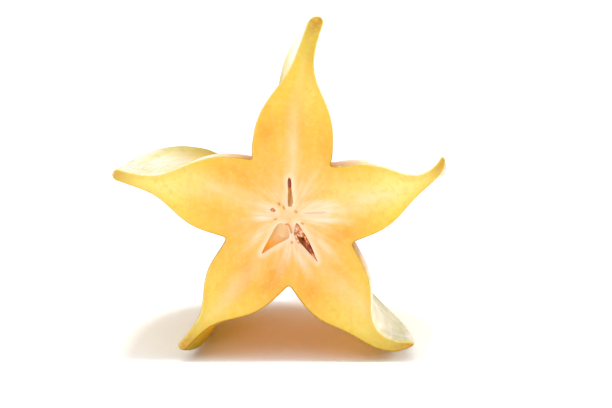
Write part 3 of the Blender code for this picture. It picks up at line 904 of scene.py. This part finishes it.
def ripe_flesh(pose):
    """Fresh carambola flesh, cut with a knife: crisp, juicy, translucent cells, glossy with their juice.

    Golden orange in the thick of a rib, lemon yellow towards its tip and cream round the core, with a pale
    strand of vessels down the middle of each rib and whitish fibres round the chambers.
    """
    material, tree, shader = new_material("cut_carambola_flesh")
    place = fruit_coordinates(tree, pose)
    known = {}
    for name in ("along", "across", "rim", "wall", "strand", *PATCHES):
        known[name] = add(tree, "ShaderNodeAttribute", output="Fac", attribute_name=name)

    mottle = add(tree, "ShaderNodeTexNoise", {"Vector": place, "Scale": 0.16, "Detail": 5.0, "Roughness": 0.6})
    lowered = add(tree, "ShaderNodeMath", (known["along"], 0.05), operation="SUBTRACT")
    drift = add(tree, "ShaderNodeMath", (mottle, 0.1, lowered), operation="MULTIPLY_ADD")
    ripening = (
        (0.0, "#F4DAA4"),
        (0.14, "#FAD88C"),
        (0.28, "#FCD66C"),
        (0.45, "#FCD85E"),
        (0.62, "#FAE566"),
        (0.74, "#F2E86E"),
        (0.86, "#E2DA5E"),
        (0.955, "#CCB248"),
        (1.0, "#96602C"),
    )
    colour = add(tree, "ShaderNodeValToRGB", {"Fac": drift}, stops=ripening)
    # Lemon yellow, riper orange and tan patches. The mottle breaks up the orange ones.
    broken = add(tree, "ShaderNodeMapRange", ramped(mottle, (0.34, 0.56, 0.3, 1.0)))
    orange = add(tree, "ShaderNodeMath", (known["ripe"], broken), operation="MULTIPLY")
    for amount, paint in ((known["lemon"], "#FDF6A0"), (orange, "#FBB23A"), (known["tan"], "#C39138")):
        colour = add(tree, "ShaderNodeMix", {"Factor": amount, A: colour, B: paint}, MIXED, data_type="RGBA")
    # Small juicy and drier spots all over, 1 to 3 mm across.
    juice = add(tree, "ShaderNodeTexNoise", {"Vector": place, "Scale": 0.6, "Detail": 4.0, "Roughness": 0.6})
    colour = stain(tree, colour, juice, (0.5, 0.66, 0.0, 0.5), "#FFCB62")
    colour = stain(tree, colour, juice, (0.32, 0.48, 0.3, 0.0), "#FFF0B4")

    # Fibres fan out from the core: noise that changes fast round the axis and slowly away from it.
    flat = add(tree, "ShaderNodeVectorMath", (place, (1, 0, 1)), operation="MULTIPLY")
    heading = add(tree, "ShaderNodeVectorMath", (flat,), operation="NORMALIZE")
    distance = add(tree, "ShaderNodeVectorMath", (flat,), "Value", operation="LENGTH")
    slow = add(tree, "ShaderNodeMath", (distance, 0.12), operation="MULTIPLY")
    fan = add(tree, "ShaderNodeVectorMath", {0: heading, "Scale": 8.0}, operation="SCALE")
    fan = add(tree, "ShaderNodeVectorMath", (fan, add(tree, "ShaderNodeCombineXYZ", {"Y": slow})))
    fibres = add(tree, "ShaderNodeTexNoise", {"Vector": fan, "Scale": 1.0, "Detail": 4.0})
    near_core = add(tree, "ShaderNodeMapRange", ramped(distance, (5.0, 16.0, 0.45, 0.0)))
    colour = stain(tree, colour, fibres, (0.42, 0.66, 0.0, near_core), "#FFF2D8")
    # The pale strand of vessels down the middle of the rib, and whitish patches with fibres in them.
    wander = add(tree, "ShaderNodeMath", (mottle, 0.8, known["across"]), operation="MULTIPLY_ADD")
    vessels = add(tree, "ShaderNodeMapRange", ramped(known["along"], (0.55, 0.9, 0.3, 0.0)))
    colour = stain(tree, colour, wander, (0.36, 0.72, vessels, 0.0), "#FFEBBE")
    fibrous = add(tree, "ShaderNodeMapRange", ramped(fibres, (0.3, 0.55, 0.35, 1.0)))
    whitish = add(tree, "ShaderNodeMath", (known["pale"], fibrous), operation="MULTIPLY")
    colour = add(tree, "ShaderNodeMix", {"Factor": whitish, A: colour, B: "#FFFBEE"}, MIXED, data_type="RGBA")
    colour = stain(tree, colour, known["wall"], (0.15, 1.5, 0.8, 0.0), "#FFF7E6")
    # Deeper yellow just under the peel, and the vessels that the knife went through.
    colour = stain(tree, colour, known["rim"], (0.3, 2.2, 0.4, 0.0), "#E4C844")
    colour = add(tree, "ShaderNodeMix", {"Factor": known["strand"], A: colour, B: "#E08A18"}, MIXED, data_type="RGBA")
    # Cells, drawn at 0.8 mm so that they show, where the real ones are about 0.3 mm. Their middles are whitened as
    # painted glints.
    cells = add(tree, "ShaderNodeTexVoronoi", {"Vector": place, "Scale": 1.25}, "Distance")
    colour = stain(tree, colour, cells, (0.1, 0.6, 0.05, 0.0), "#FFFFFF")

    wet = add(tree, "ShaderNodeMapRange", ramped(juice, (0.35, 0.65, 0.25, 0.48)))
    grain = add(tree, "ShaderNodeTexNoise", {"Vector": place, "Scale": 2.2, "Detail": 3.0})
    height = add(tree, "ShaderNodeMath", (cells, -0.6, grain), operation="MULTIPLY_ADD")
    height = add(tree, "ShaderNodeMath", (fibres, near_core, height), operation="MULTIPLY_ADD")
    bump = add(tree, "ShaderNodeBump", {"Height": height, "Strength": 0.45, "Distance": 0.12 * MM})
    settle(tree, shader, Base_Color=colour, Roughness=wet, Normal=bump, IOR=1.38)
    settle(tree, shader, Subsurface_Weight=0.3, Subsurface_Scale=2.0 * MM, Subsurface_Radius=(1.0, 0.75, 0.35))
    settle(tree, shader, Coat_Weight=0.25, Coat_Roughness=0.14)
    let_light_through(tree, shader, colour, "#FFEA90", 0.5)
    return material


def chamber_lining(pose):
    """The thin, wet skin that lines a seed chamber: whitish at the lip, tan by the core, orange further out."""
    material, tree, shader = new_material("wet_chamber_lining")
    place = fruit_coordinates(tree, pose)
    flat = add(tree, "ShaderNodeVectorMath", (place, (1, 0, 1)), operation="MULTIPLY")
    distance = add(tree, "ShaderNodeVectorMath", (flat,), "Value", operation="LENGTH")
    patch = add(tree, "ShaderNodeTexNoise", {"Vector": place, "Scale": 0.5, "Detail": 4.0})
    outwards = add(tree, "ShaderNodeMath", (patch, 5.0, distance), operation="MULTIPLY_ADD")
    outwards = add(tree, "ShaderNodeMapRange", ramped(outwards, (7.5, 13.0)))
    colours = ((0.0, "#E8C898"), (0.35, "#F6C67C"), (0.65, "#FFBE56"), (1.0, "#FFB640"))
    colour = add(tree, "ShaderNodeValToRGB", {"Fac": outwards}, stops=colours)
    depth = add(tree, "ShaderNodeAttribute", output="Fac", attribute_name="depth")
    colour = stain(tree, colour, depth, (0.0, 0.5, 0.9, 0.0), "#FFF6E4")
    ripples = add(tree, "ShaderNodeTexNoise", {"Vector": place, "Scale": 1.6, "Detail": 3.0})
    bump = add(tree, "ShaderNodeBump", {"Height": ripples, "Strength": 0.5, "Distance": 0.2 * MM})
    settle(tree, shader, Base_Color=colour, Normal=bump, Roughness=0.25, IOR=1.38)
    settle(tree, shader, Subsurface_Weight=0.4, Subsurface_Scale=2.0 * MM, Subsurface_Radius=(1.0, 0.6, 0.3))
    settle(tree, shader, Coat_Weight=0.4, Coat_Roughness=0.1)
    let_light_through(tree, shader, colour, "#FFF0D0", 0.35)
    return material


def waxy_skin(pose):
    """Carambola peel: a thin, smooth, waxy cuticle with fine lengthwise lines and a pale bloom.

    The flanks are whitish near the cut, where the bloom is also a painted reflection of the white studio, and golden
    in the valleys and towards the stem. The valleys and the flanks that face down are deeper gold and less white as
    painted shade. The ridges are greener, and their crests dry to tan.
    """
    material, tree, shader = new_material("waxy_carambola_skin")
    place = fruit_coordinates(tree, pose)
    known = {}
    for name in ("ridge", "depth", "girth", "rib", "bloom"):
        known[name] = add(tree, "ShaderNodeAttribute", output="Fac", attribute_name=name)
    patches = add(tree, "ShaderNodeTexNoise", {"Vector": place, "Scale": 0.09, "Detail": 3.0})
    drift = add(tree, "ShaderNodeMath", (patches, 0.4, known["ridge"]), operation="MULTIPLY_ADD")
    drift = add(tree, "ShaderNodeMath", (drift, 1.3), operation="DIVIDE")
    # Deep gold in the valleys, partly painted shade, to green on the ridges.
    flank = ((0.15, "#DEB42A"), (0.4, "#E8CC3A"), (0.65, "#ECDC58"), (0.85, "#D6DA62"), (1.0, "#AABC4A"))
    colour = add(tree, "ShaderNodeValToRGB", {"Fac": drift}, stops=flank)
    # The bloom is a pale wax colour: full near the cut, where it is also a painted reflection of the white studio,
    # and thin towards the stem. It is thin in the valleys too, and on the flanks that face down, as painted shade.
    mist = add(tree, "ShaderNodeTexNoise", {"Vector": place, "Scale": 0.22, "Detail": 4.0})
    pale_bloom_and_painted_light = add(tree, "ShaderNodeMapRange", ramped(known["depth"], (34.0, 58.0, 0.92, 0.05)))
    pale_bloom_and_painted_light = add(tree, "ShaderNodeMapRange", ramped(known["ridge"], (0.0, 0.35, 0.1, pale_bloom_and_painted_light)))
    pale_bloom_and_painted_light = add(tree, "ShaderNodeMath", (pale_bloom_and_painted_light, known["bloom"]), operation="MULTIPLY")
    pale_bloom_and_painted_light = add(tree, "ShaderNodeMapRange", ramped(mist, (0.0, 0.4, 0.3, pale_bloom_and_painted_light)))
    colour = add(tree, "ShaderNodeMix", {"Factor": pale_bloom_and_painted_light, A: colour, B: "#FFFFF2"}, MIXED, data_type="RGBA")
    # Fine yellow lines from the cut to the stem, drawn 1.2 mm apart, where the real ones are twice as close.
    slow = add(tree, "ShaderNodeMath", (known["depth"], 0.08), operation="MULTIPLY")
    apart = add(tree, "ShaderNodeMath", (known["rib"], RIBS_APART), operation="MULTIPLY")
    wavy = add(tree, "ShaderNodeMath", (mist, 1.2, known["girth"]), operation="MULTIPLY_ADD")
    lengthwise = add(tree, "ShaderNodeCombineXYZ", {"X": wavy, "Y": slow, "Z": apart})
    lines = add(tree, "ShaderNodeTexNoise", {"Vector": lengthwise, "Scale": 0.8, "Detail": 2.0})
    # Broader olive streaks run the same way: faint, but stronger on the lower right rib, the last one.
    streaks = add(tree, "ShaderNodeTexNoise", {"Vector": lengthwise, "Scale": 0.35, "Detail": 4.0})
    stained = add(tree, "ShaderNodeMapRange", ramped(known["rib"], (3.0, 4.0, 0.12, 0.5)))
    colour = stain(tree, colour, streaks, (0.48, 0.62, 0.0, stained), "#A6A650")
    colour = stain(tree, colour, lines, (0.48, 0.6, 0.0, 0.55), "#E8E468")
    # The crest of each ridge dries to tan, and small brown specks are scattered over the skin.
    dry = add(tree, "ShaderNodeMapRange", ramped(mist, (0.3, 0.7, 0.25, 0.65)))
    colour = stain(tree, colour, known["ridge"], (0.955, 0.998, 0.0, dry), "#9C7434")
    speck = add(tree, "ShaderNodeTexVoronoi", {"Vector": place, "Scale": 0.3}, "Distance")
    colour = stain(tree, colour, speck, (0.03, 0.065, 0.35, 0.0), "#8A6A34")
    # The cut shows the peel's pale edge.
    colour = stain(tree, colour, known["depth"], (0.1, 0.6, 0.8, 0.0), "#D6C24E")
    gloss = add(tree, "ShaderNodeMapRange", ramped(mist, (0.35, 0.65, 0.24, 0.4)))
    pores = add(tree, "ShaderNodeTexNoise", {"Vector": place, "Scale": 2.5, "Detail": 2.0})
    height = add(tree, "ShaderNodeMath", (pores, 0.3, lines), operation="MULTIPLY_ADD")
    bump = add(tree, "ShaderNodeBump", {"Height": height, "Strength": 0.5, "Distance": 0.25 * MM})
    settle(tree, shader, Base_Color=colour, Roughness=gloss, Normal=bump, IOR=1.45)
    settle(tree, shader, Subsurface_Weight=0.1, Subsurface_Scale=2.0 * MM, Subsurface_Radius=(1.0, 0.8, 0.3))
    settle(tree, shader, Coat_Weight=0.6, Coat_Roughness=0.1)
    # More light passes where the pale bloom colour is thin, and it comes through amber.
    tint = add(tree, "ShaderNodeMix", {"Factor": pale_bloom_and_painted_light, A: "#FAD034", B: "#FFF4B8"}, MIXED, data_type="RGBA")
    share = add(tree, "ShaderNodeMapRange", {"Value": pale_bloom_and_painted_light, "To Min": 0.8, "To Max": 0.16})
    let_light_through(tree, shader, colour, tint, share)
    return material


def blotched(name, pose, blotches, colours, crinkle, bumps, stretch=(1, 1, 1)):
    """A material with blotches of a few colours, and small bumps of a given strength and height in millimetres.

    The blotches and the crinkle are noise settings. Without a crinkle the bumps follow the blotches.
    """
    material, tree, shader = new_material(name)
    place = add(tree, "ShaderNodeMapping", {"Vector": fruit_coordinates(tree, pose), "Scale": stretch})
    shade = add(tree, "ShaderNodeTexNoise", {"Vector": place, **blotches})
    colour = add(tree, "ShaderNodeValToRGB", {"Fac": shade}, stops=colours)
    crinkled = add(tree, "ShaderNodeTexNoise", {"Vector": place, **crinkle}) if crinkle else shade
    strength, high = bumps
    bump = add(tree, "ShaderNodeBump", {"Height": crinkled, "Strength": strength, "Distance": high * MM})
    settle(tree, shader, Base_Color=colour, Normal=bump)
    return material, tree, shader, colour


def seed_coat(pose):
    """A carambola seed: a thin, hard, glossy brown coat, redder where it is thin, still wet with jelly."""
    browns = ((0.34, "#4E120A"), (0.5, "#7C2414"), (0.62, "#963A22"), (0.74, "#BE7A5C"))
    blotches = {"Scale": 0.9, "Detail": 4.0}
    material, tree, shader, _ = blotched("glossy_seed_coat", pose, blotches, browns, None, (0.4, 0.1))
    settle(tree, shader, Roughness=0.42, IOR=1.4, Coat_Weight=0.12, Coat_Roughness=0.1)
    settle(tree, shader, Subsurface_Weight=0.15, Subsurface_Scale=0.4 * MM, Subsurface_Radius=(1.0, 0.3, 0.1))
    return material


def seed_jelly(pose):
    """The aril, a wet jelly round the seeds: wrinkled and glossy, orange brown where it has dried."""
    # The palest cream stop paints highlights on the jelly.
    jelly_colours_and_glints = ((0.34, "#B25A28"), (0.46, "#DC8A4C"), (0.56, "#F6B880"), (0.64, "#FFECD8"))
    blotches, crinkle = {"Scale": 1.3, "Detail": 4.0, "Roughness": 0.65}, {"Scale": 2.6, "Detail": 3.0}
    made = blotched("wrinkled_seed_jelly", pose, blotches, jelly_colours_and_glints, crinkle, (0.8, 0.25))
    material, tree, shader, colour = made
    settle(tree, shader, Roughness=0.2, IOR=1.38, Coat_Weight=0.6, Coat_Roughness=0.05)
    settle(tree, shader, Subsurface_Weight=0.5, Subsurface_Scale=0.8 * MM, Subsurface_Radius=(1.0, 0.4, 0.2))
    let_light_through(tree, shader, colour, "#FFD8A0", 0.25)
    return material


def red_jelly(pose):
    """Clear jelly beside the seed and in the left chamber, stained orange red by the seeds' coats."""
    reds = ((0.36, "#B24418"), (0.5, "#DE7A2C"), (0.66, "#F2A85C"))
    blotches = {"Scale": 1.6, "Detail": 3.0}
    material, tree, shader, colour = blotched("red_stained_jelly", pose, blotches, reds, None, (0.5, 0.1))
    settle(tree, shader, Roughness=0.2, IOR=1.38, Coat_Weight=0.6, Coat_Roughness=0.05)
    let_light_through(tree, shader, colour, "#FFD090", 0.3)
    return material


def dry_stalk(pose):
    """A dried fruit stalk: thin, woody and matt, grey brown with fine lengthwise cracks."""
    browns = ((0.3, "#3C2A17"), (0.5, "#6B4E2C"), (0.7, "#8F7448"))
    cracks, along = {"Scale": 1.0, "Detail": 5.0}, (3.0, 0.4, 3.0)
    material, tree, shader, _ = blotched("dry_woody_stalk", pose, cracks, browns, None, (0.8, 0.3), along)
    settle(tree, shader, Roughness=0.85)
    return material


def dry_sepals(pose):
    """The calyx: five papery, dried sepals, dull brown with paler blotches."""
    browns = ((0.3, "#4A3320"), (0.5, "#7A5A34"), (0.7, "#A68A56"))
    blotches, crinkle = {"Scale": 0.9, "Detail": 4.0}, {"Scale": 2.4, "Detail": 3.0}
    material, tree, shader, _ = blotched("papery_dry_sepals", pose, blotches, browns, crinkle, (0.6, 0.2))
    settle(tree, shader, Roughness=0.75)
    return material


# ---------------------------------------------------------------- stage
def pale_floor():
    """A smooth sheet of white paper: matt, with no colour of its own."""
    material, tree, shader = new_material("white_paper")
    place = add(tree, "ShaderNodeTexCoord", output="Object")
    fibre = add(tree, "ShaderNodeTexNoise", {"Vector": place, "Scale": 900.0, "Detail": 2.0})
    colour = add(tree, "ShaderNodeValToRGB", {"Fac": fibre}, stops=((0.3, "#F7F7F7"), (0.7, "#FBFBFB")))
    settle(tree, shader, Base_Color=colour, Roughness=0.9)
    return material


def make_floor(size):
    bm = bmesh.new()
    bmesh.ops.create_grid(bm, x_segments=1, y_segments=1, size=size)
    mesh = bpy.data.meshes.new("floor")
    bm.to_mesh(mesh)
    bm.free()
    mesh.materials.append(pale_floor())
    floor = bpy.data.objects.new("floor", mesh)
    bpy.context.scene.collection.objects.link(floor)


def make_sun(name, direction, strength, angle):
    """A large, distant, even light. The direction points from the fruit towards it; a wide angle is soft."""
    light = bpy.data.lights.new(name, "SUN")
    light.energy = strength
    light.angle = math.radians(angle)
    lamp = bpy.data.objects.new(name, light)
    lamp.rotation_euler = Vector(direction).to_track_quat("Z", "Y").to_euler()
    bpy.context.scene.collection.objects.link(lamp)


def make_camera(core):
    """A 100 mm lens in front of the cut, looking a little down on it."""
    elevation, distance = math.radians(11.7), 0.408
    look = Vector((0, math.cos(elevation), -math.sin(elevation)))
    up = Vector((0, math.sin(elevation), math.cos(elevation)))
    aim = core + Vector((3.6, 0, 0)) * MM + up * 3.12 * MM
    data = bpy.data.cameras.new("camera")
    data.lens = 100
    data.sensor_width = 36
    data.clip_start = 0.01
    camera = bpy.data.objects.new("camera", data)
    camera.location = aim - look * distance
    camera.rotation_euler = look.to_track_quat("-Z", "Y").to_euler()
    bpy.context.scene.collection.objects.link(camera)
    bpy.context.scene.camera = camera


def make_studio():
    """A white tent lit from above, with a white sheet behind, and three soft lights.

    One light is overhead and slightly behind the fruit, one is to the right and one is low at the front left.
    """
    scene = bpy.context.scene
    scene.view_settings.view_transform = "Standard"
    world = bpy.data.worlds.new("studio")
    scene.world = world
    world.use_nodes = True
    tree = world.node_tree
    direction = add(tree, "ShaderNodeTexCoord", output="Generated")
    height = add(tree, "ShaderNodeSeparateXYZ", (direction,), "Z")
    glow = ramped(height, (0.25, 0.95, 0.11, 1.45))
    glow = add(tree, "ShaderNodeMapRange", glow, interpolation_type="SMOOTHSTEP")
    # The white sheet that hangs behind the fruit.
    sheet = add(tree, "ShaderNodeMapRange", ramped(height.node.outputs["Y"], (0.2, 0.8, 0.0, 0.9)))
    glow = add(tree, "ShaderNodeMath", (glow, sheet), operation="MAXIMUM")
    canopy = add(tree, "ShaderNodeBackground", {"Color": "#FFFFFF", "Strength": glow})
    backdrop = add(tree, "ShaderNodeBackground", {"Color": "#FFFFFF", "Strength": 1.0})
    seen = add(tree, "ShaderNodeLightPath", output="Is Camera Ray")
    both = add(tree, "ShaderNodeMixShader", {"Fac": seen, 1: canopy, 2: backdrop})
    tree.links.new(both, tree.nodes["World Output"].inputs["Surface"])
    make_sun("overhead", (-0.03, 0.06, 1.0), 1.15, 8)
    make_sun("right", (1.0, 0.03, 0.5), 2.0, 24)
    make_sun("front", (-0.5, -1.0, 0.06), 2.1, 18)


# ---------------------------------------------------------------- put together
def resting_pose(node):
    """Leans the fruit back and moves it to where the frame holds this node."""
    lean = Matrix.Rotation(-math.radians(LEAN_BACK), 4, "X")
    corners = []
    for step in range(0, LENGTH_STEPS, 4):
        turn = profile_turn(step)
        shares = [(math.cos(turn) ** (2 / p), math.sin(turn) ** (2 / p)) for p in (VALLEY_FULLNESS, RIDGE_FULLNESS)]
        for bearing, distance, ridge, rib in star_outline(math.sin(turn) ** (2 / RIDGE_FULLNESS)):
            ridge_radius = shares[1][0] + RIBS[rib].swell * math.sin(math.pi * shares[1][1])
            radius = distance * mix(shares[0][0], ridge_radius, ridge)
            depth = HALF_LENGTH * mix(shares[0][1], shares[1][1], ridge)
            place = Vector((radius * math.cos(bearing), depth, radius * math.sin(bearing))) * MM
            corners.append(lean @ place)
    low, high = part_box(node)
    middle = [(min(c[i] for c in corners) + max(c[i] for c in corners)) / 2 for i in range(2)]
    lift = low.z - min(c.z for c in corners)
    move = Vector(((low.x + high.x) / 2 - middle[0], (low.y + high.y) / 2 - middle[1], lift))
    return Matrix.Translation(move) @ lean


def place_piece(name, mesh, pose, node):
    """Sets a finished mesh, in fruit millimetres, where it stands, and puts it on the fruit's body."""
    mesh.transform(pose @ Matrix.Scale(MM, 4))
    piece = bpy.data.objects.new(name, mesh)
    bpy.context.scene.collection.objects.link(piece)
    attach(piece, "root")
    if node:
        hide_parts(node)


def middle_of(node, pose):
    """The middle of a node's box, in the fruit's own millimetres."""
    low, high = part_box(node)
    return (pose.inverted() @ ((low + high) / 2)) / MM


def kernel_place(middle, bearing):
    """Turns a kernel's width outwards along a bearing and its length along the fruit, and moves it."""
    out, across = polar(bearing, 1), polar(bearing + 90, 1)
    turn = Matrix(((out.x, 0, across.x), (0, 1, 0), (out.y, 0, across.y))).to_4x4()
    return Matrix.Translation(middle) @ turn


def sepal_blank(length, half_width):
    """One sepal, 9 points long and 5 across: a pointed leaf that cups and curls up at its end."""
    points, faces = [], []
    for i in range(9):
        t = i / 8
        reach = half_width * math.sin(math.pi * (0.12 + 0.86 * t) ** 0.8)
        for j in range(5):
            side = j / 2 - 1
            lift = 0.2 + 0.75 * t + 0.9 * t**3 + 0.3 * side * side * (1 - t)
            points.append((length * t, reach * side, lift))
    for i in range(8):
        for j in range(4):
            k = i * 5 + j
            faces.append((k, k + 5, k + 6, k + 1))
    mesh = bpy.data.meshes.new("sepal")
    mesh.from_pydata(points, [], faces)
    return mesh


def build_stem(pose):
    """The stalk runs from inside the dimple to the end of its node, with the calyx round its foot."""
    seat = HALF_LENGTH - STEM_DIMPLE
    sunk, free_end, calyx_rise = 0.3, 0.4, 0.35
    low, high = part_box("stem_stub")
    tall = (pose.inverted() @ Vector(((low.x + high.x) / 2, high.y, (low.z + high.z) / 2))).y / MM
    length = tall - seat - free_end
    turned = Matrix.Rotation(-math.pi / 2, 4, "X")
    stalk = made_by(stalk_form(), "stalk", dry_stalk(pose), sizes={"Length": length})
    stalk.transform(Matrix.Translation((0, seat - sunk + length / 2, 0)) @ turned)
    calyx = made_by(calyx_form(), "calyx", dry_sepals(pose), sepal_blank(4.6, 1.5), wall=0.16)
    calyx.transform(Matrix.Translation((0, seat + calyx_rise, 0)) @ turned)
    place_piece("dry_stalk", stalk, pose, "stem_stub")
    place_piece("dry_calyx", calyx, pose, None)


def build_seeds(pose):
    """Seeds, jelly and threads, in the chambers that show them. A nudge moves a piece off its node's middle."""
    kernel, strand = kernel_form(), strand_form()
    coat, jelly, red = seed_coat(pose), seed_jelly(pose), red_jelly(pose)
    small = {"Half width": 1.25, "Half length": 4.45, "Half thickness": 0.5, "Bluntness": 0.2}
    large = {"Half width": 2.75, "Half length": 4.5, "Half thickness": 0.5, "Bluntness": 0.25}
    lump = {
        "Half width": 2.6,
        "Half length": 4.0,
        "Half thickness": 1.35,
        "Bluntness": 0.35,
        "Wrinkle size": 0.7,
        "Wrinkle height": 0.7,
    }
    seeds = (
        ("seed_top", coat, 92.5, small, (0.0, -0.1, 0.4), "seed"),
        ("seed_lower_right", coat, 307.0, large, (0.05, -0.1, 0.0), "seed"),
        ("aril_lower_right", jelly, 299.5, lump, (0.05, -0.6, -0.1), "aril"),
    )
    for node, finish, bearing, sizes, nudge, slot in seeds:
        mesh = made_by(kernel, node, finish, sizes=sizes)
        mesh.transform(kernel_place(middle_of(node, pose) + Vector(nudge), bearing))
        place_piece(f"{node}_piece", mesh, pose, node)
    threads = (
        ("jelly_fringe", red, ((2.7, 0.9, -3.9), (3.4, 0.4, -5.0), (4.0, 0.5, -6.3), (4.5, 1.0, -7.4)), 0.34),
        ("seed_thread", red, ((4.9, 0.5, -8.6), (5.5, 0.3, -9.5), (6.3, 0.5, -10.7)), 0.16),
        ("jelly_rim", jelly, ((1.0, 1.0, -3.6), (1.2, 0.4, -5.0), (2.0, 0.5, -6.8), (3.3, 1.0, -8.4)), 0.4),
        ("jelly_drop", jelly, ((-4.9, 2.4, -6.9), (-4.5, 2.2, -6.4), (-4.2, 2.4, -6.1)), 0.36),
        ("left_pip", red, ((-4.85, 0.4, 1.7), (-4.4, 0.32, 1.75), (-3.95, 0.4, 1.6)), 0.44),
    )
    for name, finish, points, radius in threads:
        path = bpy.data.meshes.new(name)
        path.from_pydata(points, [(i, i + 1) for i in range(len(points) - 1)], [])
        place_piece(name, made_by(strand, name, finish, path, {"Radius": radius}), pose, None)


def main():
    pose = resting_pose("fruit_body")
    body = build_fruit_body(ripe_flesh(pose), chamber_lining(pose), waxy_skin(pose))
    place_piece("star_fruit_body", body, pose, "fruit_body")
    build_seeds(pose)
    build_stem(pose)
    make_floor(size=3.0)
    make_camera(pose.translation)
    make_studio()


main()
